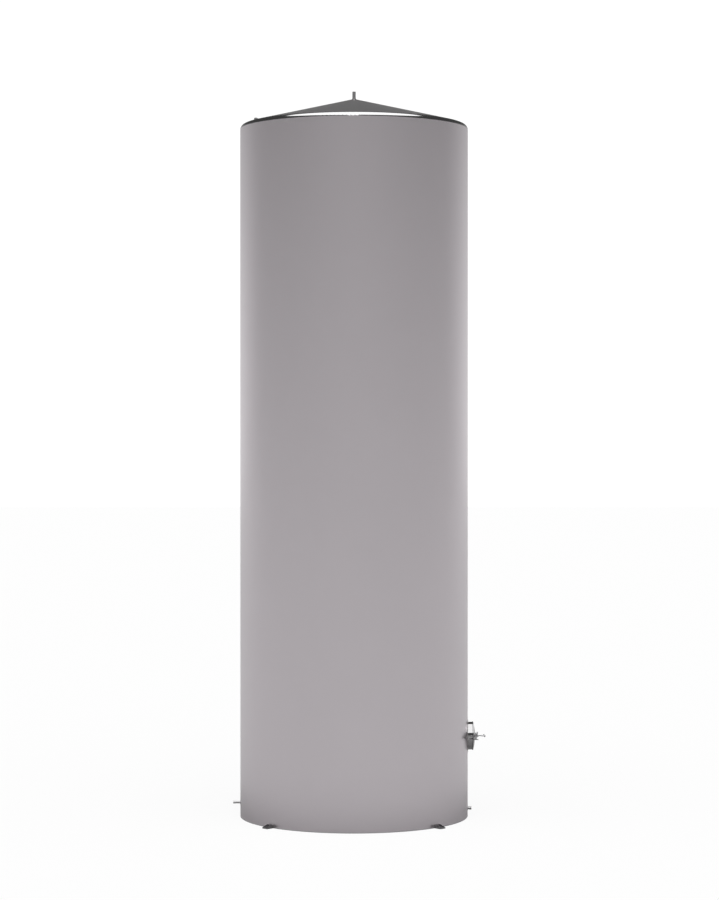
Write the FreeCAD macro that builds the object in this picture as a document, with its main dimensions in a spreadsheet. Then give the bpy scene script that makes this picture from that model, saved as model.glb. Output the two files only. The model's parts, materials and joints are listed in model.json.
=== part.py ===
"""Vertical insulated hot-water tank with a toriconical roof and a hinged side manway.

Millimetres, +Z up.  The origin is the centre of the tank's base on the floor, the front of
the tank faces -Y and the manway faces +X.
"""
import FreeCAD
import Part
import Sketcher
import os
import re

Vector = FreeCAD.Vector
Rotation = FreeCAD.Rotation

# Driving dimensions: millimetres and degrees, one spreadsheet cell each.
SIZES = {
    # shells
    "tank_radius": 1700,
    "jacket_sheet": 3,
    "jacket_top": 10243,
    "course_height": 3430,
    "knuckle_radius": 65,
    "roof_slope": 13.86,
    "base_sheet": 10,
    "vessel_radius": 1600,
    "vessel_sheet": 6,
    "vessel_floor": 142,
    "vessel_floor_sheet": 8,
    "vessel_top": 10200,
    "foam_gap": 0.5,
    "foam_joint": 9,
    "jacket_gap": 1.5,
    "weld_gap": 0.3,
    "fit_gap": 0.05,
    "cutter_inset": 60,
    "cutter_length": 240,
    # roof fittings
    "vent_radius": 25.4,
    "vent_wall": 2,
    "vent_top": 10820,
    "vent_bottom": 10545,
    "collar_radius": 34,
    "collar_edge": 6,
    "collar_rise": 10,
    "lug_reach": 55,
    "lug_sheet": 12,
    "lug_rise": 28,
    "lug_corner": 10,
    "lug_hole": 6,
    # anchor brackets
    "foot_reach": 122,
    "foot_width": 100,
    "foot_sheet": 20,
    "foot_hole": 12,
    "foot_hole_reach": 64,
    "gusset_sheet": 10,
    "gusset_reach": 104,
    "gusset_top": 50,
    "gusset_toe": 8,
    "gusset_shoulder": 30,
    # manway
    "manway_height": 1188,
    "neck_radius": 207,
    "neck_wall": 6,
    "neck_end": 1768,
    "neck_start": 1585,
    "gasket_sheet": 6,
    "gasket_radius": 210,
    "cover_radius": 212,
    "cover_rim": 8,
    "cover_sheet": 4,
    "cover_rise": 30,
    "rim_width": 24,
    "crown_inset": 6,
    "boss_radius": 22,
    "boss_length": 4,
    "trim_width": 34,
    "pivot_x": 1806,
    "pivot_y": 285,
    "arm_height": 36,
    "arm_width": 28,
    "arm_inner": 1824,
    "arm_outer": 1840,
    "arm_flat": 120,
    "arm_corner": 6,
    "arm_tail": 10,
    "knee_inset": 24,
    "eye_radius": 18,
    "pin_radius": 8,
    "pin_fit": 0.08,
    "pin_head_rim": 4,
    "pin_head_sheet": 7,
    "pin_tail": 4,
    "fork_gap": 2,
    "fork_sheet": 8,
    "fork_root": 46,
    "fork_bite": 8,
    "fork_edge": 30,
    "fork_heel": 14,
    "fork_corner": 12,
    "latch_x": 1832,
    "latch_lift": 54,
    "latch_gap": 0.4,
    "nut_radius": 20,
    "nut_length": 14,
    "spindle_radius": 8,
    "spindle_end": 1968,
    "hub_start": 1905,
    "hub_socket": 30,
    "hub_radius": 11,
    "tommy_inset": 17,
    "tommy_radius": 6,
    "tommy_length": 210,
    "knob_radius": 9,
    "knob_offset": 2,
    # small nozzles near the floor
    "outlet_height": 190,
    "outlet_radius": 16.85,
    "outlet_wall": 2.6,
    "outlet_start": 1585,
    "outlet_end": 1795,
    "socket_start": 1778,
    "socket_end": 1808,
    "socket_radius": 19,
    "drain_height": 105,
    "drain_radius": 21.2,
    "drain_wall": 2.6,
    "drain_end": 1750,
    "drain_overlap": 12,
    "cap_start": 1728,
    "cap_end": 1757,
    "cap_radius": 25.4,
    "sump_offset": 1350,
    "sump_radius": 80,
    "sump_depth": 84,
    "sump_sheet": 4,
    # rear nozzles
    "pipe_radius": 30.15,
    "pipe_wall": 3,
    "pipe_end": 1850,
    "nozzle_inset": 200,
    "flange_radius": 82.5,
    "flange_sheet": 18,
    "flange_circle": 62.5,
    "flange_bolt": 9,
    "cold_height": 420,
    "hot_height": 9900,
    "rear_angle": 90,
    "coil_flow_angle": 112,
    "coil_return_angle": 68,
    "well_angle": 140,
    "well_height": 2500,
    "well_radius": 12,
    "well_wall": 2,
    "well_depth": 250,
    "well_end": 1760,
    # heating coil
    "coil_radius": 1350,
    "coil_tube": 30,
    "coil_wall": 3,
    "coil_pitch": 110,
    "coil_first": 300,
    "coil_rings": 6,
    "header_radius": 38,
    "coil_flow_height": 850,
    "coil_return_height": 300,
    "support_width": 90,
    "support_sheet": 12,
}

SHEET = "Sizes"
ALONG_X = Rotation(Vector(0, 1, 0), 90)
ALONG_Y = Rotation(Vector(1, 0, 0), -90)
UPRIGHT = Rotation()
FULL_TURN = 360

# Where repeated pieces stand, in degrees round the tank from +X.
LUG_ANGLES = (28, 208)
BRACKET_ANGLES = (45, 135, 225, 315)
COIL_SUPPORT_ANGLES = (0, 180, 225, 315)
FLANGE_BOLTS = 4

document = FreeCAD.newDocument("water_tank")
nodes = []


def fill_sheet():
    """Write every driving dimension into its own named spreadsheet cell."""
    sheet = document.addObject("Spreadsheet::Sheet", SHEET)
    for row, (alias, value) in enumerate(SIZES.items(), start=1):
        sheet.set(f"A{row}", alias)
        sheet.set(f"B{row}", str(value))
        sheet.setAlias(f"B{row}", alias)
    document.recompute()
    return sheet


sizes_sheet = fill_sheet()


def in_sheet(formula):
    """Turn the size names in a formula into references to the spreadsheet's cells."""
    return re.sub(r"[a-z]+(?:_[a-z]+)+", SHEET + r".\g<0>", str(formula))


def value_of(formula):
    """Work out a formula as a plain number."""
    return float(sizes_sheet.evalExpression(in_sheet(formula)))


def bind(item, target, formula):
    """Drive one property of an object from the spreadsheet."""
    item.setExpression(target, in_sheet(formula))


def place(item, x=0, y=0, z=0, turn=UPRIGHT):
    """Turn an object, then hold its position to three formulas."""
    item.Placement = FreeCAD.Placement(Vector(value_of(x), value_of(y), value_of(z)), turn)
    bind(item, "Placement.Base.x", x)
    bind(item, "Placement.Base.y", y)
    bind(item, "Placement.Base.z", z)
    return item


def keep(item, label):
    """Mark an object as a finished sub-part and give it its label."""
    item.Label = label
    nodes.append(item)
    return item


# --- primitives and booleans -------------------------------------------------------------

def cylinder(radius, length, x=0, y=0, z=0, turn=UPRIGHT):
    item = document.addObject("Part::Cylinder", "round")
    bind(item, "Radius", radius)
    bind(item, "Height", length)
    return place(item, x, y, z, turn)


def sphere(radius, x=0, y=0, z=0):
    item = document.addObject("Part::Sphere", "ball")
    bind(item, "Radius", radius)
    return place(item, x, y, z)


def ring(radius, tube_radius, z):
    item = document.addObject("Part::Torus", "ring")
    bind(item, "Radius1", radius)
    bind(item, "Radius2", tube_radius)
    return place(item, z=z)


def block(length, width, height, x=0, y=0, z=0):
    item = document.addObject("Part::Box", "block")
    bind(item, "Length", length)
    bind(item, "Width", width)
    bind(item, "Height", height)
    return place(item, x, y, z)


def fuse(pieces):
    if len(pieces) == 1:
        return pieces[0]
    item = document.addObject("Part::MultiFuse", "joined")
    item.Shapes = pieces
    return item


def cut(base, tools):
    item = document.addObject("Part::Cut", "cut")
    item.Base = base
    item.Tool = fuse(tools)
    return item


def common(base, tool):
    item = document.addObject("Part::Common", "overlap")
    item.Base = base
    item.Tool = tool
    return item


def group(pieces):
    item = document.addObject("Part::Compound", "set")
    item.Links = pieces
    return item


def tube(outer, inner, length, x=0, y=0, z=0, turn=UPRIGHT):
    return cut(cylinder(outer, length, x, y, z, turn), [cylinder(inner, length, x, y, z, turn)])


def radial(radius, start, length, height, angle):
    """A round bar that points straight out from the tank's axis at an angle from +X."""
    degrees = value_of(angle)
    turn = Rotation(Vector(0, 0, 1), degrees) * ALONG_X
    return cylinder(radius, length, f"({start}) * cos({angle})", f"({start}) * sin({angle})", height, turn)


def radial_tube(outer, wall, start, length, height, angle):
    return cut(radial(outer, start, length, height, angle),
               [radial(f"{outer} - {wall}", start, length, height, angle)])


def about_axis(item, degrees):
    """Carry a finished shape round the tank's own axis."""
    item.Placement = FreeCAD.Placement(Vector(), Rotation(Vector(0, 0, 1), degrees))
    return item


# --- PartDesign bodies -------------------------------------------------------------------

def origin_plane(body, role):
    for feature in body.Origin.OriginFeatures:
        if feature.Role == role:
            return feature
    raise ValueError(role)


def hold_point(sketch, edge, point, across, up, name):
    """Fix one sketch point to two formulas, measured from the sketch's origin."""
    for kind, formula in (("DistanceX", across), ("DistanceY", up)):
        value = value_of(formula)
        index = sketch.addConstraint(Sketcher.Constraint(kind, -1, 1, edge, point, value))
        label = f"{name}_{kind}"
        sketch.renameConstraint(index, label)
        sketch.setExpression(f"Constraints.{label}", in_sheet(formula))


def draw_outline(sketch, corners):
    """Draw a closed outline of straight lines through corners given as formulas."""
    points = [Vector(value_of(across), value_of(up), 0) for across, up in corners]
    count = len(points)
    for index in range(count):
        sketch.addGeometry(Part.LineSegment(points[index], points[(index + 1) % count]), False)
    for index in range(count):
        sketch.addConstraint(Sketcher.Constraint("Coincident", index, 2, (index + 1) % count, 1))
    for index, (across, up) in enumerate(corners):
        hold_point(sketch, index, 1, across, up, f"corner_{index}")


def draw_circle(sketch, across, up, radius, name):
    centre = Vector(value_of(across), value_of(up), 0)
    circle = Part.Circle(centre, Vector(0, 0, 1), value_of(radius))
    edge = sketch.addGeometry(circle, False)
    hold_point(sketch, edge, 3, across, up, name)
    index = sketch.addConstraint(Sketcher.Constraint("Radius", edge, value_of(radius)))
    sketch.renameConstraint(index, f"{name}_radius")
    sketch.setExpression(f"Constraints.{name}_radius", in_sheet(radius))


def new_sketch(body, plane):
    sketch = body.newObject("Sketcher::SketchObject", "outline")
    sketch.AttachmentSupport = (origin_plane(body, plane), [""])
    sketch.MapMode = "FlatFace"
    return sketch


def revolved(corners, x=0, y=0, z=0, turn=UPRIGHT):
    """A body of revolution about its own Z axis, from corners of (radius, height)."""
    body = document.addObject("PartDesign::Body", "turned")
    sketch = new_sketch(body, "XZ_Plane")
    draw_outline(sketch, corners)
    feature = body.newObject("PartDesign::Revolution", "revolution")
    feature.Profile = sketch
    feature.ReferenceAxis = (sketch, ["V_Axis"])
    feature.Angle = FULL_TURN
    body.Tip = feature
    return place(body, x, y, z, turn)


def plate(corners, thickness, plane="XY_Plane", holes=(), x=0, y=0, z=0):
    """A flat plate of even thickness, centred on one of its body's origin planes."""
    body = document.addObject("PartDesign::Body", "plate")
    sketch = new_sketch(body, plane)
    draw_outline(sketch, corners)
    for number, (across, up, radius) in enumerate(holes):
        draw_circle(sketch, across, up, radius, f"hole_{number}")
    feature = body.newObject("PartDesign::Pad", "pad")
    feature.Profile = sketch
    feature.Midplane = True
    bind(feature, "Length", thickness)
    body.Tip = feature
    return place(body, x, y, z)


# --- derived lines -----------------------------------------------------------------------

ROOF_EDGE_RADIUS = "(tank_radius - knuckle_radius * (1 - sin(roof_slope)))"
ROOF_EDGE_HEIGHT = "(jacket_top + knuckle_radius * cos(roof_slope))"
VENT_HOLE = "(vent_radius + foam_gap)"
FOAM_INNER = "(vessel_radius + foam_gap)"
FOAM_OUTER = "(tank_radius - jacket_sheet - foam_gap)"
COVER_FACE = "(neck_end + gasket_sheet + cover_rim)"
COVER_CROWN = f"({COVER_FACE} + cover_rise)"


def roof_line(radius):
    """Height of the outer roof's top surface at a radius."""
    return f"({ROOF_EDGE_HEIGHT} + ({ROOF_EDGE_RADIUS} - ({radius})) * tan(roof_slope))"


def vessel_roof_line(radius):
    """Height of the inner vessel roof's underside at a radius."""
    return f"(vessel_top + (vessel_radius - ({radius})) * tan(roof_slope))"


# Nozzles that break through the lower courses: outer radius, height, angle from +X.
LOWER_NOZZLES = (
    ("neck_radius", "manway_height", 0),
    ("outlet_radius", "outlet_height", 180),
    ("pipe_radius", "cold_height", "rear_angle"),
    ("header_radius", "coil_flow_height", "coil_flow_angle"),
    ("header_radius", "coil_return_height", "coil_return_angle"),
    ("well_radius", "well_height", "well_angle"),
)
DRAIN_NOZZLE = ("drain_radius", "drain_height", 0)
UPPER_NOZZLES = (("pipe_radius", "hot_height", "rear_angle"),)


def wall_holes(nozzles, clearance):
    """Round cutters along each nozzle, from inside the vessel to beyond the jacket."""
    inner_end = "vessel_radius - cutter_inset"
    return [radial(f"{radius} + {clearance}", inner_end, "cutter_length", height, angle)
            for radius, height, angle in nozzles]


# --- floor, vessel, insulation and jacket -------------------------------------------------

def build_floor():
    keep(cylinder("tank_radius", "base_sheet"), "base_plate")
    foam = cylinder(FOAM_OUTER, "vessel_floor - base_sheet", z="base_sheet")
    sump = cylinder("sump_radius + foam_gap", "sump_depth + foam_gap", "sump_offset", 0,
                    "vessel_floor - sump_depth - foam_gap")
    drain = radial("drain_radius + foam_gap", "sump_offset", "tank_radius - sump_offset", "drain_height", 0)
    keep(cut(foam, [sump, drain]), "base_insulation")
    floor = cylinder("vessel_radius", "vessel_floor_sheet", z="vessel_floor")
    opening = cylinder("sump_radius - sump_sheet", "vessel_floor_sheet", "sump_offset", 0, "vessel_floor")
    keep(cut(floor, [opening]), "vessel_floor")


def course(label, outer, inner, bottom, top, nozzles, clearance):
    """One cylindrical course of a shell, with holes where nozzles break through it."""
    shell = tube(outer, inner, f"{top} - ({bottom})", z=bottom)
    if nozzles:
        shell = cut(shell, wall_holes(nozzles, clearance))
    keep(shell, label)


def build_courses():
    seams = ("(base_sheet + course_height)", "(base_sheet + 2 * course_height)")
    vessel_bottom = "(vessel_floor + vessel_floor_sheet)"
    foam_top = "(vessel_top - foam_joint)"
    jacket_inner = "(tank_radius - jacket_sheet)"
    vessel_inner = "(vessel_radius - vessel_sheet)"
    layers = (
        ("vessel", "vessel_radius", vessel_inner, vessel_bottom, "vessel_top", "foam_gap"),
        ("wall_insulation", FOAM_OUTER, FOAM_INNER, "vessel_floor", foam_top, "foam_gap"),
        ("jacket", "tank_radius", jacket_inner, "base_sheet", "jacket_top", "jacket_gap"),
    )
    for name, outer, inner, bottom, top, clearance in layers:
        low_nozzles = LOWER_NOZZLES + (DRAIN_NOZZLE,) if name == "jacket" else LOWER_NOZZLES
        course(f"{name}_lower", outer, inner, bottom, seams[0], low_nozzles, clearance)
        course(f"{name}_middle", outer, inner, seams[0], seams[1], (), clearance)
        course(f"{name}_upper", outer, inner, seams[1], top, UPPER_NOZZLES, clearance)


def build_roof():
    bend = "(tank_radius - knuckle_radius)"
    hoop = cut(ring(bend, "knuckle_radius", "jacket_top"),
               [ring(bend, "knuckle_radius - jacket_sheet", "jacket_top")])
    # The bend turns from upright to the slope of the roof: this wedge holds that part of it.
    reach = "(2 * knuckle_radius)"
    wedge = revolved((
        (bend, "jacket_top"),
        (f"{bend} + {reach}", "jacket_top"),
        (f"{bend} + {reach}", f"jacket_top + {reach}"),
        (f"{bend} + {reach} * sin(roof_slope)", f"jacket_top + {reach} * cos(roof_slope)"),
    ))
    keep(common(hoop, wedge), "roof_knuckle")
    keep(revolved((
        (ROOF_EDGE_RADIUS, ROOF_EDGE_HEIGHT),
        (VENT_HOLE, roof_line(VENT_HOLE)),
        (VENT_HOLE, f"{roof_line(VENT_HOLE)} - jacket_sheet / cos(roof_slope)"),
        (f"{ROOF_EDGE_RADIUS} - jacket_sheet * sin(roof_slope)",
         f"{ROOF_EDGE_HEIGHT} - jacket_sheet * cos(roof_slope)"),
    )), "roof_cone")
    keep(revolved((
        ("vessel_radius", "vessel_top"),
        ("vessel_radius", "vessel_top + vessel_sheet"),
        (VENT_HOLE, f"{vessel_roof_line(VENT_HOLE)} + vessel_sheet"),
        (VENT_HOLE, vessel_roof_line(VENT_HOLE)),
    )), "vessel_roof")
    clearance = "2 * foam_gap"
    under_roof = f"{clearance} + jacket_sheet / cos(roof_slope)"
    foam_bottom = "(vessel_top - foam_joint + foam_gap)"
    keep(revolved((
        (bend, foam_bottom),
        (bend, f"{roof_line(bend)} - ({under_roof})"),
        (VENT_HOLE, f"{roof_line(VENT_HOLE)} - ({under_roof})"),
        (VENT_HOLE, f"{vessel_roof_line(VENT_HOLE)} + vessel_sheet + {clearance}"),
        (f"vessel_radius + {clearance}", f"vessel_top + vessel_sheet + {clearance}"),
        (f"vessel_radius + {clearance}", foam_bottom),
    )), "roof_insulation")


def build_roof_fittings():
    keep(tube("vent_radius", "vent_radius - vent_wall", "vent_top - vent_bottom", z="vent_bottom"),
         "vent_pipe")
    keep(revolved((
        (VENT_HOLE, f"{roof_line(VENT_HOLE)} + weld_gap"),
        ("collar_radius", f"{roof_line('collar_radius')} + weld_gap"),
        ("collar_radius", f"{roof_line('collar_radius')} + collar_edge"),
        (VENT_HOLE, f"{roof_line(VENT_HOLE)} + collar_rise"),
    )), "vent_collar")
    lugs = []
    inner_end = f"({ROOF_EDGE_RADIUS} - lug_reach)"
    top = f"({ROOF_EDGE_HEIGHT} + lug_rise)"
    hole = (f"{ROOF_EDGE_RADIUS} - lug_reach / 2", f"{top} - lug_corner", "lug_hole")
    for degrees in LUG_ANGLES:
        lug = plate((
            (inner_end, f"{roof_line(inner_end)} + weld_gap"),
            (ROOF_EDGE_RADIUS, f"{ROOF_EDGE_HEIGHT} + weld_gap"),
            (ROOF_EDGE_RADIUS, f"{top} - lug_corner"),
            (f"{ROOF_EDGE_RADIUS} - lug_corner", top),
            (f"{inner_end} + lug_corner", top),
            (inner_end, f"{top} - lug_corner"),
        ), "lug_sheet", "XZ_Plane", (hole,))
        lugs.append(about_axis(group([lug]), degrees))
    keep(group(lugs), "lifting_lugs")


def build_anchor_brackets():
    """Four foot plates with two side gussets each, at 45 degrees to the front."""
    brackets = []
    face = "(tank_radius + weld_gap)"
    for degrees in BRACKET_ANGLES:
        foot = block("foot_reach", "foot_width", "foot_sheet", face, "-foot_width / 2")
        hole = cylinder("foot_hole", "foot_sheet", "tank_radius + foot_hole_reach")
        pieces = [cut(foot, [hole])]
        for side in (-1, 1):
            pieces.append(plate((
                (face, "foot_sheet"),
                (f"{face} + gusset_reach", "foot_sheet"),
                (f"{face} + gusset_reach", "foot_sheet + gusset_toe"),
                (f"{face} + gusset_shoulder", "gusset_top"),
                (face, "gusset_top"),
            ), "gusset_sheet", "XZ_Plane", (), y=f"{side} * (foot_width - gusset_sheet) / 2"))
        brackets.append(about_axis(fuse(pieces), degrees))
    keep(group(brackets), "anchor_brackets")


# --- manway -------------------------------------------------------------------------------

def manway_bar(radius, start, end):
    return cylinder(radius, f"{end} - ({start})", start, 0, "manway_height", ALONG_X)


def manway_ring(outer, inner, start, end):
    return cut(manway_bar(outer, start, end), [manway_bar(inner, start, end)])


def manway_pin(radius, y, low, high, x="pivot_x"):
    """An upright bar through a fork of the manway."""
    return cylinder(radius, f"({high}) - ({low})", x, y, f"manway_height + ({low})")


def build_manway_fixed():
    keep(manway_ring("neck_radius", "neck_radius - neck_wall", "neck_start", "neck_end"),
         "manway_neck")
    saddle_inner = "tank_radius + weld_gap"
    saddle = tube(f"{saddle_inner} + jacket_sheet", saddle_inner, "4 * neck_radius",
                  z="manway_height - 2 * neck_radius")
    patch = common(saddle, manway_bar("neck_radius + trim_width", "vessel_radius", "neck_end"))
    keep(cut(patch, [manway_bar("neck_radius + 2 * weld_gap", "vessel_radius", "neck_end")]),
         "manway_trim_ring")
    keep(build_fork(1, "pivot_x"), "hinge_fork")
    keep(build_fork(-1, "latch_x"), "latch_fork")
    fork_top = "(arm_height / 2 + fork_gap + fork_sheet)"
    shoulder = f"({fork_top} + weld_gap)"
    shank = manway_pin("pin_radius", "pivot_y", f"-{fork_top} - pin_tail", shoulder)
    head = manway_pin("pin_radius + pin_head_rim", "pivot_y", shoulder, f"{shoulder} + pin_head_sheet")
    keep(fuse([shank, head]), "hinge_pin")


def build_fork(side, pin_x):
    """Two plates that stand out of the neck above and below the end of the arm."""
    tip = f"({pin_x} + eye_radius)"
    plates = []
    for level in (-1, 1):
        plates.append(plate((
            ("neck_end - fork_root", f"{side} * (neck_radius - fork_bite)"),
            ("neck_end - fork_edge", f"{side} * (neck_radius - fork_bite)"),
            (f"{tip} - fork_corner", f"{side} * (pivot_y - eye_radius - fork_corner)"),
            (tip, f"{side} * (pivot_y - eye_radius)"),
            (tip, f"{side} * (pivot_y + eye_radius - fork_bite)"),
            (f"{tip} - fork_bite", f"{side} * (pivot_y + eye_radius)"),
            ("pivot_x - eye_radius", f"{side} * (pivot_y + eye_radius)"),
            ("neck_end - fork_root", f"{side} * (neck_radius + fork_heel)"),
        ), "fork_sheet", "XY_Plane", (),
            z=f"manway_height + {level} * (arm_height + fork_sheet + 2 * fork_gap) / 2"))
    bore = manway_pin("pin_radius + fit_gap", f"{side} * pivot_y", "-arm_height", "arm_height", pin_x)
    neck = manway_bar("neck_radius + weld_gap", "vessel_radius", "neck_end")
    return cut(fuse(plates), [neck, bore])


def build_cover():
    ring_start = "(neck_end + gasket_sheet)"
    keep(manway_ring("gasket_radius", "neck_radius - neck_wall", "neck_end", ring_start),
         "manway_gasket")
    # A dished crown: a slice of a hollow sphere whose chord is the cover's inner rim.
    chord = "(cover_radius - crown_inset)"
    ball = f"(({chord} * {chord} + cover_rise * cover_rise) / (2 * cover_rise))"
    centre = f"({COVER_CROWN} - {ball})"
    shell = cut(sphere(ball, centre, 0, "manway_height"),
                [sphere(f"{ball} - cover_sheet", centre, 0, "manway_height")])
    crown = common(shell, manway_bar(chord, f"{COVER_FACE} - cover_sheet", f"{COVER_CROWN} + cover_sheet"))
    rim = manway_ring("cover_radius", "cover_radius - rim_width", ring_start, COVER_FACE)
    boss = manway_bar("boss_radius", f"{COVER_CROWN} - cover_sheet / 2", f"{COVER_CROWN} + boss_length")
    keep(fuse([rim, crown, boss]), "manway_cover")


def build_strongback():
    half = "arm_width / 2"
    outer_corner = "(arm_flat + arm_corner)"
    knee = "(pivot_y - knee_inset)"
    arch = plate((
        (f"pivot_x - {half}", "pivot_y"),
        (f"pivot_x - {half}", knee),
        ("arm_inner", "arm_flat"),
        ("arm_inner", "-arm_flat"),
        (f"pivot_x - {half}", f"-{knee}"),
        (f"pivot_x - {half}", "-pivot_y - arm_tail"),
        (f"pivot_x + {half}", "-pivot_y - arm_tail"),
        (f"pivot_x + {half}", f"-{knee}"),
        ("arm_outer", f"-{outer_corner}"),
        ("arm_outer", outer_corner),
        (f"pivot_x + {half}", knee),
        (f"pivot_x + {half}", "pivot_y"),
    ), "arm_height", z="manway_height")
    eye = manway_pin("eye_radius", "pivot_y", "-arm_height / 2", "arm_height / 2")
    pivot_bore = manway_pin("pin_radius + pin_fit", "pivot_y", "-arm_height", "arm_height")
    screw_bore = manway_bar("spindle_radius + pin_fit", "arm_inner", "arm_outer")
    keep(cut(fuse([arch, eye]), [pivot_bore, screw_bore]), "strongback")
    keep(manway_ring("nut_radius", "spindle_radius + pin_fit", "arm_outer",
                     "arm_outer + nut_length"), "spindle_nut")


def build_spindle():
    screw_end = "(hub_start + hub_socket)"
    keep(manway_bar("spindle_radius", f"({COVER_CROWN} + boss_length)", screw_end), "spindle")
    hub = manway_bar("hub_radius", "hub_start", "spindle_end")
    socket = manway_bar("spindle_radius + fit_gap", "hub_start", screw_end)
    middle = "spindle_end - tommy_inset"

    def cross_bar(radius):
        return cylinder(radius, "tommy_length", middle, "-tommy_length / 2", "manway_height", ALONG_Y)

    keep(cut(hub, [socket, cross_bar("tommy_radius + fit_gap")]), "spindle_hub")
    keep(cross_bar("tommy_radius"), "tommy_bar")
    knobs = []
    for side in (-1, 1):
        ball = sphere("knob_radius", middle, f"{side} * (tommy_length / 2 + knob_offset)", "manway_height")
        knobs.append(cut(ball, [cross_bar("tommy_radius + fit_gap")]))
    keep(group(knobs), "tommy_knobs")


def build_latch_pin():
    """The latch pin, drawn up in the fork's upper plate; let down, it stands in front of the arm."""
    low = "(arm_height / 2 + fork_gap + latch_gap)"
    shoulder = f"({low} + fork_sheet + latch_lift)"
    shank = manway_pin("pin_radius", "-pivot_y", low, shoulder, "latch_x")
    head = manway_pin("pin_radius + pin_head_rim", "-pivot_y", shoulder, f"{shoulder} + pin_head_sheet",
                      "latch_x")
    keep(fuse([shank, head]), "latch_pin")


# --- pipes, coil and fittings -------------------------------------------------------------

def build_low_nozzles():
    keep(radial_tube("outlet_radius", "outlet_wall", "outlet_start", "outlet_end - outlet_start",
                     "outlet_height", 180), "side_outlet_pipe")
    socket_length = "socket_end - socket_start"
    socket = radial("socket_radius", "socket_start", socket_length, "outlet_height", 180)
    bore = radial("outlet_radius + fit_gap", "socket_start", socket_length, "outlet_height", 180)
    keep(cut(socket, [bore]), "side_outlet_socket")

    sump_bottom = "(vessel_floor - sump_depth)"
    cup = cylinder("sump_radius", "sump_depth", "sump_offset", 0, sump_bottom)
    hollow = cylinder("sump_radius - sump_sheet", "sump_depth", "sump_offset", 0,
                      f"{sump_bottom} + sump_sheet")
    mouth = radial("drain_radius + fit_gap", "sump_offset", "2 * sump_radius", "drain_height", 0)
    keep(cut(cup, [hollow, mouth]), "drain_sump")
    drain_start = "(sump_offset + sump_radius - drain_overlap)"
    keep(radial_tube("drain_radius", "drain_wall", drain_start, f"drain_end - {drain_start}",
                     "drain_height", 0), "drain_pipe")
    cap = radial("cap_radius", "cap_start", "cap_end - cap_start", "drain_height", 0)
    bore = radial("drain_radius + fit_gap", "cap_start", "drain_end - cap_start", "drain_height", 0)
    keep(cut(cap, [bore]), "drain_cap")


def build_flange(label, bore, height, angle):
    """A flat pipe flange with its bolt holes, face out at the end of a rear nozzle."""
    outward = Rotation(Vector(0, 0, 1), value_of(angle)) * ALONG_X
    start = "(pipe_end - flange_sheet)"
    disc = radial("flange_radius", start, "flange_sheet", height, angle)
    holes = [radial(bore, start, "flange_sheet", height, angle)]
    for bolt in range(FLANGE_BOLTS):
        turn = (bolt + 0.5) * FULL_TURN / FLANGE_BOLTS
        across = f"flange_circle * cos({turn})"
        rise = f"flange_circle * sin({turn})"
        holes.append(cylinder(
            "flange_bolt", "flange_sheet",
            f"{start} * cos({angle}) - ({across}) * sin({angle})",
            f"{start} * sin({angle}) + ({across}) * cos({angle})",
            f"{height} + ({rise})",
            outward))
    keep(cut(disc, holes), label)


def build_rear_nozzles():
    nozzle_start = "(vessel_radius - nozzle_inset)"
    for name, height in (("cold_inlet", "cold_height"), ("hot_outlet", "hot_height")):
        keep(radial_tube("pipe_radius", "pipe_wall", nozzle_start, f"pipe_end - {nozzle_start}",
                         height, "rear_angle"), f"{name}_pipe")
        build_flange(f"{name}_flange", "pipe_radius + fit_gap", height, "rear_angle")
    for name in ("coil_flow", "coil_return"):
        build_flange(f"{name}_flange", "header_radius + fit_gap", f"{name}_height", f"{name}_angle")
    well = radial("well_radius", "well_end - well_depth", "well_depth", "well_height", "well_angle")
    pocket = radial("well_radius - well_wall", "well_end - well_depth + well_wall", "well_depth",
                    "well_height", "well_angle")
    keep(cut(well, [pocket]), "thermowell")


def coil_pipework(tube_radius, header_radius):
    """Stacked rings joined by two upright headers that leave through the rear wall."""
    top = f"coil_first + (coil_rings - 1) * coil_pitch"
    pieces = [ring("coil_radius", tube_radius, f"coil_first + {index} * coil_pitch")
              for index in range(SIZES["coil_rings"])]
    for angle, height in (("coil_flow_angle", "coil_flow_height"),
                          ("coil_return_angle", "coil_return_height")):
        x = f"coil_radius * cos({angle})"
        y = f"coil_radius * sin({angle})"
        pieces.append(cylinder(header_radius, f"{top} - coil_first", x, y, "coil_first"))
        pieces.append(radial(header_radius, "coil_radius", "pipe_end - coil_radius", height, angle))
    return pieces


def build_coil():
    outer = coil_pipework("coil_tube", "header_radius")
    inner = coil_pipework("coil_tube - coil_wall", "header_radius - coil_wall")
    keep(cut(fuse(outer), inner), "heating_coil")
    top = "(coil_first + coil_rings * coil_pitch - coil_pitch / 2)"
    floor = "(vessel_floor + vessel_floor_sheet)"
    supports = []
    for degrees in COIL_SUPPORT_ANGLES:
        post = block("support_width", "support_sheet", f"{top} - {floor}",
                     "coil_radius - support_width / 2", "-support_sheet / 2", floor)
        notches = [ring("coil_radius", "coil_tube + weld_gap", f"coil_first + {index} * coil_pitch")
                   for index in range(SIZES["coil_rings"])]
        supports.append(about_axis(cut(post, notches), degrees))
    keep(group(supports), "coil_supports")


# --- checks and output --------------------------------------------------------------------

def check_document():
    document.recompute()
    for item in document.Objects:
        if "Invalid" in item.State or "Error" in item.State:
            raise RuntimeError(f"{item.Name} ({item.Label}) failed to build")
    for node in nodes:
        if node.Shape.isNull() or not node.Shape.isValid():
            raise RuntimeError(f"{node.Label} has no valid shape")


def write_parts():
    os.makedirs("parts", exist_ok=True)
    for node in nodes:
        node.Shape.exportStep(f"parts/{node.Label}.step")
        box = node.Shape.BoundBox
        print(f"{node.Label:22s} solids {len(node.Shape.Solids)}  "
              f"x {box.XMin:9.1f} {box.XMax:9.1f}  y {box.YMin:9.1f} {box.YMax:9.1f}  "
              f"z {box.ZMin:9.1f} {box.ZMax:9.1f}")


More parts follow.
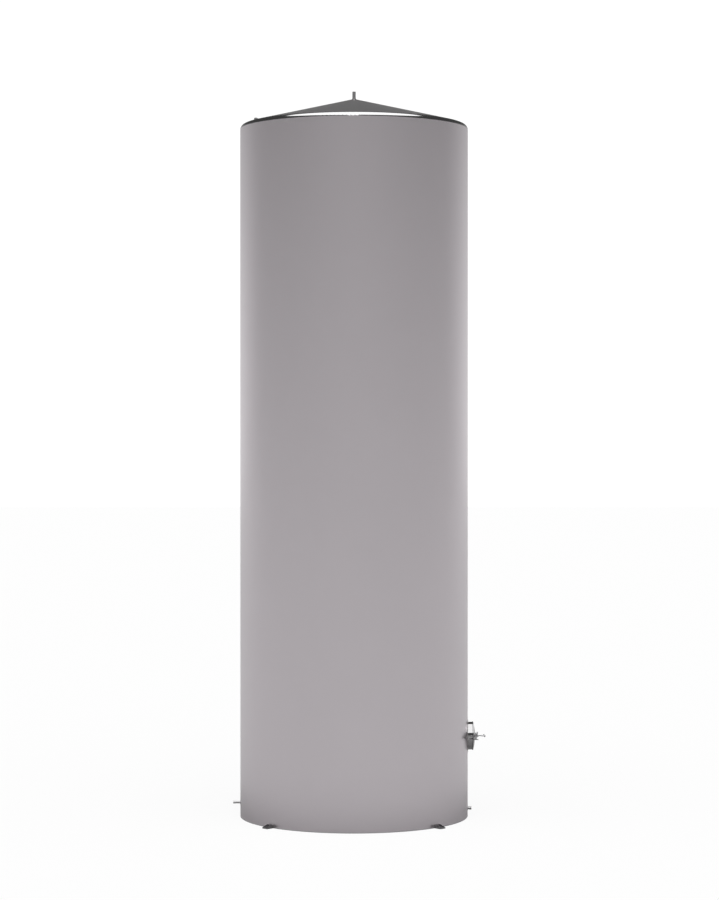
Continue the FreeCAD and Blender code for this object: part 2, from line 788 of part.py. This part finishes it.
build_floor()
build_courses()
build_roof()
build_roof_fittings()
build_anchor_brackets()
build_manway_fixed()
build_cover()
build_strongback()
build_spindle()
build_latch_pin()
build_low_nozzles()
build_rear_nozzles()
build_coil()
check_document()
write_parts()
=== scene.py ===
import json
import math

import bmesh
import bpy
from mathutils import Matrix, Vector


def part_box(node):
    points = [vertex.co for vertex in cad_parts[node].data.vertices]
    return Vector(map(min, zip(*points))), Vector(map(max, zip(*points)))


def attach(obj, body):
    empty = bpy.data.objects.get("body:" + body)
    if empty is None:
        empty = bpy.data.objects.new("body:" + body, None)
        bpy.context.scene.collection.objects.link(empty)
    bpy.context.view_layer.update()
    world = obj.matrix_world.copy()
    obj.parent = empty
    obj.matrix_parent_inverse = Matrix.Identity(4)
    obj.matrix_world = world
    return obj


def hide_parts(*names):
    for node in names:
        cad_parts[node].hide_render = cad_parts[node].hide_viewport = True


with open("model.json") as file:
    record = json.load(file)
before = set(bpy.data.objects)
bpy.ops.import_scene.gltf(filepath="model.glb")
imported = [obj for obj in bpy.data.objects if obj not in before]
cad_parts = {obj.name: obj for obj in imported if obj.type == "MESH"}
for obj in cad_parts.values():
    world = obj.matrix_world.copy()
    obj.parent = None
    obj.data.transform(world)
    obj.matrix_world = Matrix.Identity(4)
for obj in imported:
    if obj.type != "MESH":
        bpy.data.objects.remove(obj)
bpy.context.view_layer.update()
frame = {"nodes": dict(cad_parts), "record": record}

# --- places taken from the frame ----------------------------------------------------------

TANK_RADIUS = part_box("jacket_upper")[1].x
neck_low, neck_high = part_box("manway_neck")
MANWAY_HEIGHT = (neck_low.z + neck_high.z) / 2
NECK_RADIUS = (neck_high.z - neck_low.z) / 2


# --- camera, floor and light --------------------------------------------------------------

# The camera's place, in tank radii, and how it looks.
CAMERA_SIDE = 0.048
CAMERA_DISTANCE = 21.3
CAMERA_HEIGHT = 3.356
CAMERA_TILT = math.radians(-0.38)
CAMERA_LENS = 96.8
SENSOR_WIDTH = 36


def make_camera():
    """A long lens held level with the middle of the tank."""
    data = bpy.data.cameras.new("camera")
    data.sensor_width = SENSOR_WIDTH
    data.lens = CAMERA_LENS
    data.clip_end = 500
    camera = bpy.data.objects.new("camera", data)
    camera.location = (CAMERA_SIDE * TANK_RADIUS, -CAMERA_DISTANCE * TANK_RADIUS,
                       CAMERA_HEIGHT * TANK_RADIUS)
    camera.rotation_euler = (math.pi / 2 + CAMERA_TILT, 0, 0)
    bpy.context.scene.collection.objects.link(camera)
    bpy.context.scene.camera = camera


def feed(tree, socket, value):
    """Connect a socket to another node's output, or set it to a plain number."""
    if isinstance(value, bpy.types.NodeSocket):
        tree.links.new(value, socket)
    else:
        socket.default_value = value


def compute(tree, operation, *values):
    """One math node; returns its result."""
    node = tree.nodes.new("ShaderNodeMath")
    node.operation = operation
    for socket, value in zip(node.inputs, values):
        feed(tree, socket, value)
    return node.outputs[0]


def fade(tree, value, start, end, low=0.0, high=1.0):
    """A smooth step from low to high as a value passes from start to end."""
    node = tree.nodes.new("ShaderNodeMapRange")
    node.interpolation_type = "SMOOTHSTEP"
    numbers = {"Value": value, "From Min": start, "From Max": end, "To Min": low, "To Max": high}
    for label, number in numbers.items():
        feed(tree, node.inputs[label], number)
    return node.outputs[0]


# Brightness of the studio: the large soft light overhead, the low walls and the rest.
OVERHEAD = 3.0
LOW_WALLS = 0.62
BACKDROP_EXTRA = 0.42
AMBIENT = 0.11
LAMP_TILT = math.radians(16)


def make_world():
    """A soft light overhead, leaning to the front, and a backdrop lit low down behind the tank."""
    world = bpy.data.worlds.new("studio")
    world.use_nodes = True
    bpy.context.scene.world = world
    tree = world.node_tree
    tree.nodes.clear()
    place = tree.nodes.new("ShaderNodeTexCoord")
    split = tree.nodes.new("ShaderNodeSeparateXYZ")
    tree.links.new(place.outputs["Generated"], split.inputs[0])
    lamp = tree.nodes.new("ShaderNodeVectorMath")
    lamp.operation = "DOT_PRODUCT"
    lamp.inputs[1].default_value = (0, -math.sin(LAMP_TILT), math.cos(LAMP_TILT))
    tree.links.new(place.outputs["Generated"], lamp.inputs[0])
    overhead = fade(tree, lamp.outputs["Value"], 0.69, 0.74)
    walls = fade(tree, split.outputs["Y"], 0.2, 1.0, LOW_WALLS, LOW_WALLS + BACKDROP_EXTRA)
    low = fade(tree, split.outputs["Z"], -0.04, 0.32, 1.0, 0.0)
    level = compute(tree, "MULTIPLY_ADD", overhead, OVERHEAD, AMBIENT)
    level = compute(tree, "MULTIPLY_ADD", walls, low, level)
    studio = tree.nodes.new("ShaderNodeBackground")
    tree.links.new(level, studio.inputs["Strength"])
    seen = tree.nodes.new("ShaderNodeBackground")
    seen.inputs["Color"].default_value = (1, 1, 1, 1)
    seen.inputs["Strength"].default_value = 1.05
    path = tree.nodes.new("ShaderNodeLightPath")
    mix = tree.nodes.new("ShaderNodeMixShader")
    out = tree.nodes.new("ShaderNodeOutputWorld")
    tree.links.new(path.outputs["Is Camera Ray"], mix.inputs["Fac"])
    tree.links.new(studio.outputs[0], mix.inputs[1])
    tree.links.new(seen.outputs[0], mix.inputs[2])
    tree.links.new(mix.outputs[0], out.inputs["Surface"])


def make_floor():
    """A pale floor that runs into the backdrop and only just darkens beside the tank; what reflections see
    of it carries a painted shadow, darker close to the tank.
    """
    size = 90 * TANK_RADIUS
    mesh = bpy.data.meshes.new("floor")
    corners = [(-size, -size, 0), (size, -size, 0), (size, size, 0), (-size, size, 0)]
    mesh.from_pydata(corners, [], [(0, 1, 2, 3)])
    floor = bpy.data.objects.new("floor", mesh)
    bpy.context.scene.collection.objects.link(floor)
    finish = bpy.data.materials.new("pale_floor")
    finish.use_nodes = True
    tree = finish.node_tree
    tree.nodes.clear()
    seen = tree.nodes.new("ShaderNodeEmission")
    seen.inputs["Strength"].default_value = 0.89
    shaded = tree.nodes.new("ShaderNodeBsdfDiffuse")
    shaded.inputs["Color"].default_value = (0.08, 0.08, 0.08, 1)
    both = tree.nodes.new("ShaderNodeAddShader")
    painted_shadow_matte = tree.nodes.new("ShaderNodeBsdfDiffuse")
    place = tree.nodes.new("ShaderNodeTexCoord")
    reach = tree.nodes.new("ShaderNodeVectorMath")
    reach.operation = "LENGTH"
    tree.links.new(place.outputs["Object"], reach.inputs[0])
    # Painted shadow: the floor colour that reflections see is darker close to the tank and paler further
    # out.
    near, far = TANK_RADIUS, 2.9 * TANK_RADIUS
    tree.links.new(fade(tree, reach.outputs["Value"], near, far, 0.36, 0.51), painted_shadow_matte.inputs["Color"])
    path = tree.nodes.new("ShaderNodeLightPath")
    mix = tree.nodes.new("ShaderNodeMixShader")
    out = tree.nodes.new("ShaderNodeOutputMaterial")
    tree.links.new(seen.outputs[0], both.inputs[0])
    tree.links.new(shaded.outputs[0], both.inputs[1])
    tree.links.new(path.outputs["Is Camera Ray"], mix.inputs["Fac"])
    tree.links.new(painted_shadow_matte.outputs[0], mix.inputs[1])
    tree.links.new(both.outputs[0], mix.inputs[2])
    tree.links.new(mix.outputs[0], out.inputs["Surface"])
    mesh.materials.append(finish)


# --- shared shader groups -----------------------------------------------------------------

def new_group(name, inputs, outputs):
    """An empty shader node group with its sockets; returns it with its two end nodes."""
    group = bpy.data.node_groups.new(name, "ShaderNodeTree")
    for label, kind, value in inputs:
        socket = group.interface.new_socket(label, in_out="INPUT", socket_type=kind)
        socket.default_value = value
    for label, kind in outputs:
        group.interface.new_socket(label, in_out="OUTPUT", socket_type=kind)
    return group, group.nodes.new("NodeGroupInput"), group.nodes.new("NodeGroupOutput")


FLOAT = "NodeSocketFloat"
COLOUR = "NodeSocketColor"
VECTOR = "NodeSocketVector"


def make_rolled_metal():
    """Rolled and brushed metal: cloudy tone, fine drawn grain and a slight roll of the sheet."""
    group, given, made = new_group(
        "rolled_metal",
        (("Dark", COLOUR, (0.3, 0.3, 0.3, 1)), ("Light", COLOUR, (0.5, 0.5, 0.5, 1)),
         ("Stretch", VECTOR, (1, 1, 30)), ("Cloud Scale", FLOAT, 1.2), ("Grain Scale", FLOAT, 14.0),
         ("Rough Low", FLOAT, 0.3), ("Rough High", FLOAT, 0.4), ("Grain Depth", FLOAT, 0.05),
         ("Roll Depth", FLOAT, 0.02)),
        (("Color", COLOUR), ("Roughness", FLOAT), ("Normal", VECTOR)))
    nodes, link = group.nodes, group.links.new
    place = nodes.new("ShaderNodeTexCoord")
    stretch = nodes.new("ShaderNodeVectorMath")
    stretch.operation = "MULTIPLY"
    link(place.outputs["Object"], stretch.inputs[0])
    link(given.outputs["Stretch"], stretch.inputs[1])
    cloud = nodes.new("ShaderNodeTexNoise")
    cloud.inputs["Detail"].default_value = 3
    link(place.outputs["Object"], cloud.inputs["Vector"])
    link(given.outputs["Cloud Scale"], cloud.inputs["Scale"])
    grain = nodes.new("ShaderNodeTexNoise")
    grain.inputs["Detail"].default_value = 5
    grain.inputs["Roughness"].default_value = 0.62
    link(stretch.outputs[0], grain.inputs["Vector"])
    link(given.outputs["Grain Scale"], grain.inputs["Scale"])
    tone = nodes.new("ShaderNodeMath")
    tone.operation = "MULTIPLY_ADD"
    tone.inputs[1].default_value = 0.45
    link(grain.outputs["Fac"], tone.inputs[0])
    half_cloud = nodes.new("ShaderNodeMath")
    half_cloud.operation = "MULTIPLY"
    half_cloud.inputs[1].default_value = 0.55
    link(cloud.outputs["Fac"], half_cloud.inputs[0])
    link(half_cloud.outputs[0], tone.inputs[2])
    mix = nodes.new("ShaderNodeMix")
    mix.data_type = "RGBA"
    link(tone.outputs[0], mix.inputs["Factor"])
    link(given.outputs["Dark"], mix.inputs["A"])
    link(given.outputs["Light"], mix.inputs["B"])
    rough = nodes.new("ShaderNodeMapRange")
    link(grain.outputs["Fac"], rough.inputs["Value"])
    link(given.outputs["Rough Low"], rough.inputs["To Min"])
    link(given.outputs["Rough High"], rough.inputs["To Max"])
    fine = nodes.new("ShaderNodeBump")
    fine.inputs["Distance"].default_value = 0.0006
    link(given.outputs["Grain Depth"], fine.inputs["Strength"])
    link(grain.outputs["Fac"], fine.inputs["Height"])
    roll = nodes.new("ShaderNodeBump")
    roll.inputs["Distance"].default_value = 0.01
    link(given.outputs["Roll Depth"], roll.inputs["Strength"])
    link(cloud.outputs["Fac"], roll.inputs["Height"])
    link(fine.outputs[0], roll.inputs["Normal"])
    link(mix.outputs["Result"], made.inputs["Color"])
    link(rough.outputs[0], made.inputs["Roughness"])
    link(roll.outputs[0], made.inputs["Normal"])
    return group


rolled_metal = make_rolled_metal()


# --- finishes -----------------------------------------------------------------------------

def metal(name, dark, light, stretch=(1, 1, 30), cloud=1.2, grain=14.0, rough=(0.3, 0.4),
          depth=0.05, roll=0.02, metallic=1.0, coat=0.0):
    """A metal finish: the shared rolled-metal group in front of its own shader."""
    finish = bpy.data.materials.new(name)
    finish.use_nodes = True
    tree = finish.node_tree
    shader = tree.nodes["Principled BSDF"]
    shader.inputs["Metallic"].default_value = metallic
    shader.inputs["Coat Weight"].default_value = coat
    shader.inputs["Coat Roughness"].default_value = 0.25
    group = tree.nodes.new("ShaderNodeGroup")
    group.node_tree = rolled_metal
    values = {"Dark": (*dark, 1), "Light": (*light, 1), "Stretch": stretch, "Cloud Scale": cloud,
              "Grain Scale": grain, "Rough Low": rough[0], "Rough High": rough[1],
              "Grain Depth": depth, "Roll Depth": roll}
    for label, value in values.items():
        group.inputs[label].default_value = value
    tree.links.new(group.outputs["Color"], shader.inputs["Base Color"])
    tree.links.new(group.outputs["Roughness"], shader.inputs["Roughness"])
    tree.links.new(group.outputs["Normal"], shader.inputs["Normal"])
    return finish


jacket_finish = metal("satin_jacket", (0.675, 0.633, 0.66), (0.715, 0.67, 0.699), (1, 1, 26), 0.6, 9.0,
                      (0.28, 0.33), 0.05, 0.012)
roof_finish = metal("satin_roof", (0.49, 0.482, 0.488), (0.52, 0.511, 0.517), (1, 1, 1), 0.8, 24.0,
                    (0.30, 0.33), 0.02, 0.006)
rim_finish = metal("polished_rim", (0.40, 0.397, 0.40), (0.44, 0.437, 0.44), (1, 1, 12), 1.5, 8.0,
                   (0.09, 0.13), 0.02, 0.004)
vessel_finish = metal("mill_vessel", (0.48, 0.48, 0.49), (0.56, 0.56, 0.57), (1, 1, 20), 0.8, 8.0,
                      (0.32, 0.42), 0.08, 0.03)
polished_finish = metal("polished_neck", (0.33, 0.327, 0.33), (0.37, 0.367, 0.37), (30, 1, 1), 3.0, 30.0,
                        (0.07, 0.11), 0.02, 0.004)
pipe_finish = metal("brushed_pipe", (0.36, 0.355, 0.36), (0.46, 0.455, 0.46), (1, 1, 1), 5.0, 60.0,
                    (0.26, 0.36), 0.08, 0.01)
bracket_finish = metal("ground_plate", (0.22, 0.218, 0.222), (0.30, 0.297, 0.303), (3, 3, 1), 6.0, 60.0,
                       (0.34, 0.46), 0.12, 0.02)
turned_finish = metal("turned_steel", (0.42, 0.42, 0.43), (0.52, 0.52, 0.53), (60, 1, 1), 8.0, 20.0,
                      (0.20, 0.30), 0.08, 0.0)
arm_finish = metal("satin_plate", (0.40, 0.396, 0.402), (0.48, 0.475, 0.482), (3, 3, 1), 6.0, 60.0,
                   (0.28, 0.38), 0.10, 0.01)
weld_finish = metal("weld_metal", (0.26, 0.25, 0.25), (0.44, 0.43, 0.42), (1, 1, 1), 14.0, 90.0,
                    (0.30, 0.45), 0.15, 0.02)
foam_finish = metal("cut_foam", (0.62, 0.50, 0.27), (0.78, 0.67, 0.42), (1, 1, 1), 2.0, 90.0,
                    (0.85, 0.95), 0.4, 0.05, metallic=0.0)
rubber_finish = metal("moulded_rubber", (0.018, 0.018, 0.019), (0.032, 0.032, 0.033), (1, 1, 1), 6.0, 160.0,
                      (0.55, 0.7), 0.1, 0.01, metallic=0.0)
knob_finish = metal("black_knob", (0.015, 0.015, 0.016), (0.03, 0.03, 0.031), (1, 1, 1), 9.0, 220.0,
                    (0.32, 0.42), 0.08, 0.0, metallic=0.0, coat=0.3)

FINISHES = {
    "jacket_steel": jacket_finish, "roof_steel": roof_finish, "vessel_steel": vessel_finish,
    "floor_steel": vessel_finish, "foam": foam_finish, "pipe_steel": pipe_finish,
    "flange_steel": turned_finish, "bracket_steel": bracket_finish, "polished_steel": polished_finish,
    "pin_steel": turned_finish, "coil_steel": vessel_finish, "gasket_rubber": rubber_finish,
    "nut_steel": turned_finish, "knob_plastic": knob_finish,
}
NODE_FINISHES = {
    "roof_knuckle": rim_finish, "strongback": arm_finish, "hinge_fork": arm_finish, "latch_fork": arm_finish,
}
SMOOTH_ANGLE = math.radians(32)


def round_off(item, angle=SMOOTH_ANGLE):
    """Shade curved faces smoothly and leave real corners crisp."""
    mesh = item.data
    if mesh.has_custom_normals:
        bpy.context.view_layer.objects.active = item
        bpy.ops.mesh.customdata_custom_splitnormals_clear()
    mesh.shade_smooth()
    weld = item.modifiers.new("weld", "WELD")
    weld.merge_threshold = 0.00002
    split = item.modifiers.new("corners", "EDGE_SPLIT")
    split.split_angle = angle


SOFT_CORNERS = ("strongback", "hinge_fork", "latch_fork", "anchor_brackets", "lifting_lugs")
CORNER_WIDTH = 0.0015


def ease_corners(item):
    """Break the sawn edges of a plate part with a small round."""
    bevel = item.modifiers.new("eased_edges", "BEVEL")
    bevel.width = CORNER_WIDTH
    bevel.segments = 2
    bevel.limit_method = "ANGLE"
    bevel.angle_limit = SMOOTH_ANGLE
    bevel.harden_normals = False


def finish_nodes():
    """Give every CAD node the finish of its own slot in the record."""
    for row in frame["record"]["subparts"]:
        node = frame["nodes"][row["node"]]
        finish = NODE_FINISHES.get(row["node"], FINISHES[row["material_slot"]])
        if not node.material_slots:
            node.data.materials.append(finish)
        for slot in node.material_slots:
            slot.material = finish
        if row["node"] in SOFT_CORNERS:
            ease_corners(node)
        round_off(node)


# --- made pieces --------------------------------------------------------------------------

UP = Vector((0, 0, 1))
FULL_TURN = 2 * math.pi


def new_piece(name, points, faces, finish, body):
    """One mesh piece, shaded smoothly, riding on a body."""
    mesh = bpy.data.meshes.new(name)
    mesh.from_pydata([tuple(point) for point in points], [], faces)
    shape = bmesh.new()
    shape.from_mesh(mesh)
    bmesh.ops.recalc_face_normals(shape, faces=shape.faces)
    shape.to_mesh(mesh)
    shape.free()
    mesh.shade_smooth()
    mesh.materials.append(finish)
    piece = bpy.data.objects.new(name, mesh)
    bpy.context.scene.collection.objects.link(piece)
    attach(piece, body)
    split = piece.modifiers.new("corners", "EDGE_SPLIT")
    split.split_angle = SMOOTH_ANGLE
    return piece


def strips(rows, columns, close_rows=False, close_columns=False):
    """Faces of a grid of points laid out row by row."""
    faces = []
    for row in range(rows if close_rows else rows - 1):
        for column in range(columns if close_columns else columns - 1):
            below = (row + 1) % rows
            beside = (column + 1) % columns
            faces.append((row * columns + column, row * columns + beside,
                          below * columns + beside, below * columns + column))
    return faces


def merged(parts):
    """Join several (points, faces) meshes into one."""
    points, faces = [], []
    for part_points, part_faces in parts:
        start = len(points)
        points += part_points
        faces += [tuple(index + start for index in face) for face in part_faces]
    return points, faces


BEAD_SIDES = 8
RIPPLE_STEPS = 3


def bead(path, radius, closed=True):
    """A welded bead along a path of (point, outward) pairs; each ripple swells a little."""
    points = []
    count = len(path)
    for index, (point, outward) in enumerate(path):
        before = path[index - 1][0] if closed or index else point
        after = path[(index + 1) % count][0] if closed or index < count - 1 else point
        along = (after - before).normalized()
        across = along.cross(outward).normalized()
        lift = across.cross(along)
        swell = radius * (0.86 + 0.14 * abs(math.sin(math.pi * index / RIPPLE_STEPS)))
        for side in range(BEAD_SIDES):
            turn = FULL_TURN * side / BEAD_SIDES
            points.append(point + swell * (math.cos(turn) * across + math.sin(turn) * lift))
    faces = strips(count, BEAD_SIDES, closed, True)
    if not closed:
        faces.append(tuple(range(BEAD_SIDES)))
        faces.append(tuple(range((count - 1) * BEAD_SIDES, count * BEAD_SIDES)))
    return points, faces


def ring_steps(radius, pitch=0.004):
    """How many steps give a ring of this radius whole ripples of about this pitch."""
    return RIPPLE_STEPS * max(8, round(FULL_TURN * radius / pitch))


def on_wall(angle, height, across, rise, lift=0.0):
    """A point on the jacket: across and rise measured from a place at an angle and height."""
    turn = angle + math.asin(across / TANK_RADIUS)
    reach = TANK_RADIUS + lift
    return Vector((reach * math.cos(turn), reach * math.sin(turn), height + rise))


def wall_ring_path(angle, height, radius, lift=0.0):
    """The line where a pipe of this radius meets the jacket."""
    steps = ring_steps(radius)
    path = []
    for step in range(steps):
        turn = FULL_TURN * step / steps
        point = on_wall(angle, height, radius * math.cos(turn), radius * math.sin(turn), lift)
        outward = Vector((point.x, point.y, 0)).normalized()
        path.append((point, outward))
    return path


def dome(centre, outward, radius, rise):
    """A rivet or screw head: a low dome on a short upright edge."""
    outward = outward.normalized()
    side = outward.orthogonal().normalized()
    other = outward.cross(side)
    profile = ((1.0, 0.0), (1.0, 0.25), (0.86, 0.62), (0.55, 0.88), (0.2, 1.0))
    sides = 12
    points = []
    for share, level in profile:
        for step in range(sides):
            turn = FULL_TURN * step / sides
            flat = radius * share * (math.cos(turn) * side + math.sin(turn) * other)
            points.append(centre + flat + rise * level * outward)
    faces = strips(len(profile), sides, False, True)
    faces.append(tuple(range((len(profile) - 1) * sides, len(profile) * sides)))
    faces.append(tuple(range(sides)))
    return points, faces


def wall_collar(angle, height, inner, outer):
    """A pressed collar that closes the jacket's hole round a pipe, with its four screws."""
    profile = ((inner, 0.0006), (inner, 0.007), (inner + 0.002, 0.0075), (inner + 0.005, 0.0032),
               (outer - 0.002, 0.0028), (outer, 0.0016), (outer, 0.0004))
    steps = 72
    points = []
    for radius, lift in profile:
        for step in range(steps):
            turn = FULL_TURN * step / steps
            points.append(on_wall(angle, height, radius * math.cos(turn), radius * math.sin(turn), lift))
    collar = (points, strips(len(profile), steps, True, True))
    screws = []
    reach = (inner + outer) / 2 + 0.002
    for quarter in range(4):
        turn = FULL_TURN * (quarter + 0.5) / 4
        seat = on_wall(angle, height, reach * math.cos(turn), reach * math.sin(turn), 0.0028)
        screws.append(dome(seat, Vector((seat.x, seat.y, 0)), 0.0035, 0.002))
    return merged([collar] + screws)


def centre_height(node):
    low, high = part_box(node)
    return (low.z + high.z) / 2


def half_height(node):
    low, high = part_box(node)
    return (high.z - low.z) / 2


HEADER_RADIUS = 0.038
COLLAR_GAP = 0.0015
COLLAR_REACH = 0.024


def add_wall_collars():
    """Collars where the pipes leave the jacket."""
    flow_low, flow_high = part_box("coil_flow_flange")
    flow = (flow_low + flow_high) / 2
    back_low, back_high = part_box("coil_return_flange")
    back = (back_low + back_high) / 2
    well_low, well_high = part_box("thermowell")
    nozzles = (
        ("side_outlet", math.pi, centre_height("side_outlet_pipe"), half_height("side_outlet_pipe")),
        ("drain", 0.0, centre_height("drain_pipe"), half_height("drain_pipe")),
        ("cold_inlet", math.pi / 2, centre_height("cold_inlet_pipe"), half_height("cold_inlet_pipe")),
        ("hot_outlet", math.pi / 2, centre_height("hot_outlet_pipe"), half_height("hot_outlet_pipe")),
        ("coil_flow", math.atan2(flow.y, flow.x), flow.z, HEADER_RADIUS),
        ("coil_return", math.atan2(back.y, back.x), back.z, HEADER_RADIUS),
        ("thermowell", math.atan2(well_high.y, well_low.x), (well_low.z + well_high.z) / 2,
         half_height("thermowell")),
    )
    for name, angle, height, radius in nozzles:
        points, faces = wall_collar(angle, height, radius + COLLAR_GAP, radius + COLLAR_REACH)
        new_piece(f"{name}_collar", points, faces, pipe_finish, "tank")


PATCH_BEAD = 0.0035
NECK_BEAD = 0.004
VENT_BEAD = 0.003
BRACKET_BEAD = 0.0025
BEAD_SEAT = 0.001
GUSSET_OFFSET = 0.045
GUSSET_FACE = 0.0055
GUSSET_FOOT = 0.021
GUSSET_MARGIN = 0.022
GUSSET_STEPS = 36


def add_welds():
    """Beads where the manway, vent and anchor brackets are welded on."""
    patch_low, patch_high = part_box("manway_trim_ring")
    patch_radius = (patch_high.z - patch_low.z) / 2
    edge = bead(wall_ring_path(0.0, MANWAY_HEIGHT, patch_radius, 0.002), PATCH_BEAD)
    root = bead(wall_ring_path(0.0, MANWAY_HEIGHT, NECK_RADIUS + 0.002, 0.004), NECK_BEAD)
    points, faces = merged([edge, root])
    new_piece("manway_welds", points, faces, weld_finish, "tank")

    collar_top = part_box("vent_collar")[1].z
    vent_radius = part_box("vent_pipe")[1].x
    steps = ring_steps(vent_radius)
    path = []
    for step in range(steps):
        turn = FULL_TURN * step / steps
        outward = Vector((math.cos(turn), math.sin(turn), 0))
        path.append((outward * (vent_radius + BEAD_SEAT) + UP * collar_top, outward))
    points, faces = bead(path, VENT_BEAD)
    new_piece("vent_weld", points, faces, weld_finish, "tank")

    gusset_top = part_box("anchor_brackets")[1].z
    beads = []
    for quarter in range(4):
        angle = FULL_TURN * (quarter + 0.5) / 4
        for side in (-1, 1):
            for face in (-1, 1):
                across = side * GUSSET_OFFSET + face * GUSSET_FACE
                path = []
                for step in range(GUSSET_STEPS + 1):
                    rise = GUSSET_FOOT + (gusset_top - GUSSET_MARGIN) * step / GUSSET_STEPS
                    point = on_wall(angle, 0.0, across, rise, BEAD_SEAT)
                    path.append((point, Vector((point.x, point.y, 0)).normalized()))
                beads.append(bead(path, BRACKET_BEAD, closed=False))
    points, faces = merged(beads)
    new_piece("bracket_welds", points, faces, weld_finish, "tank")


SEAM_ANGLES = (125, 55, 125)
SEAM_WIDTH = 0.05
SEAM_ROWS = 24
SEAM_END_GAP = 0.002
SEAM_RISE = 0.002
RIVET_PITCH = 0.15
RIVET_RADIUS = 0.0065
RIVET_RISE = 0.0028


def add_jacket_seams():
    """The riveted lap down the back of each jacket course."""
    for node, degrees in zip(("jacket_lower", "jacket_middle", "jacket_upper"), SEAM_ANGLES):
        low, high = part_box(node)
        angle = math.radians(degrees)
        half = SEAM_WIDTH / 2
        outline = ((-half, 0.0003), (-half, 0.0014), (-half + 0.001, 0.002), (half - 0.001, 0.002),
                   (half, 0.0014), (half, 0.0003))
        bottom = low.z + SEAM_END_GAP
        top = high.z - SEAM_END_GAP
        points = []
        for row in range(SEAM_ROWS):
            rise = bottom + (top - bottom) * row / (SEAM_ROWS - 1)
            for across, lift in outline:
                points.append(on_wall(angle, 0.0, across, rise, lift))
        faces = strips(SEAM_ROWS, len(outline), False, True)
        faces.append(tuple(range(len(outline))))
        faces.append(tuple(range((SEAM_ROWS - 1) * len(outline), SEAM_ROWS * len(outline))))
        parts = [(points, faces)]
        count = int((top - bottom) / RIVET_PITCH)
        for number in range(count):
            rise = bottom + (number + 0.5) * (top - bottom) / count
            seat = on_wall(angle, 0.0, 0.0, rise, SEAM_RISE)
            parts.append(dome(seat, Vector((seat.x, seat.y, 0)), RIVET_RADIUS, RIVET_RISE))
        points, faces = merged(parts)
        new_piece(f"{node}_seam", points, faces, jacket_finish, "tank")


THREAD_PITCH = 0.003
THREAD_DEPTH = 0.0009
TIP_CLEARANCE = 0.0001
THREAD_SIDES = 24
THREAD_ROWS = 6


def add_spindle():
    """The cover's screw: a cut thread between its tip and the end held in the hub."""
    low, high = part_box("spindle")
    centre = (low + high) / 2
    stem_radius = (high.z - low.z) / 2
    ease = 0.0015
    tip = low.x + TIP_CLEARANCE
    rows = [(tip, 0.0001), (tip, stem_radius - ease), (tip + ease, stem_radius - THREAD_DEPTH)]
    thread_start = tip + 2 * ease
    thread_end = high.x - 2 * ease
    count = round((thread_end - thread_start) / THREAD_PITCH * THREAD_ROWS)
    points = []

    def add_row(x, radius_at):
        for side in range(THREAD_SIDES):
            turn = FULL_TURN * side / THREAD_SIDES
            radius = radius_at(turn)
            across = radius * math.cos(turn)
            rise = radius * math.sin(turn)
            points.append(Vector((x, centre.y + across, centre.z + rise)))

    for x, radius in rows:
        add_row(x, lambda turn, radius=radius: radius)
    for row in range(count + 1):
        x = thread_start + (thread_end - thread_start) * row / count

        def crest(turn, x=x):
            phase = ((x - thread_start) / THREAD_PITCH - turn / FULL_TURN) % 1.0
            return stem_radius - THREAD_DEPTH * min(1.0, abs(2 * phase - 1) * 1.15)

        add_row(x, crest)
    tail = ((high.x - ease, stem_radius - THREAD_DEPTH), (high.x, stem_radius - ease), (high.x, 0.0001))
    for x, radius in tail:
        add_row(x, lambda turn, radius=radius: radius)
    total = len(points) // THREAD_SIDES
    faces = strips(total, THREAD_SIDES, False, True)
    faces.append(tuple(range(THREAD_SIDES)))
    faces.append(tuple(range((total - 1) * THREAD_SIDES, total * THREAD_SIDES)))
    screw = new_piece("threaded_spindle", points, faces, turned_finish, "handle")
    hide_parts("spindle")


RING_RADIUS = 0.0095
RING_LEVEL = 0.0022
RING_WIRE = 0.0012
RING_STEPS = 48


def add_pin_ring():
    """The split ring that keeps the hinge pin in its fork."""
    low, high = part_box("hinge_pin")
    centre = (low + high) / 2
    level = low.z + RING_LEVEL
    path = []
    for step in range(RING_STEPS):
        turn = FULL_TURN * step / RING_STEPS
        outward = Vector((math.cos(turn), math.sin(turn), 0))
        path.append((Vector((centre.x, centre.y, level)) + RING_RADIUS * outward, outward))
    points, faces = bead(path, RING_WIRE)
    new_piece("hinge_pin_ring", points, faces, turned_finish, "tank")


make_camera()
make_world()
make_floor()
finish_nodes()
add_wall_collars()
add_welds()
add_jacket_seams()
add_spindle()
add_pin_ring()

bpy.context.scene.view_settings.view_transform = "Standard"
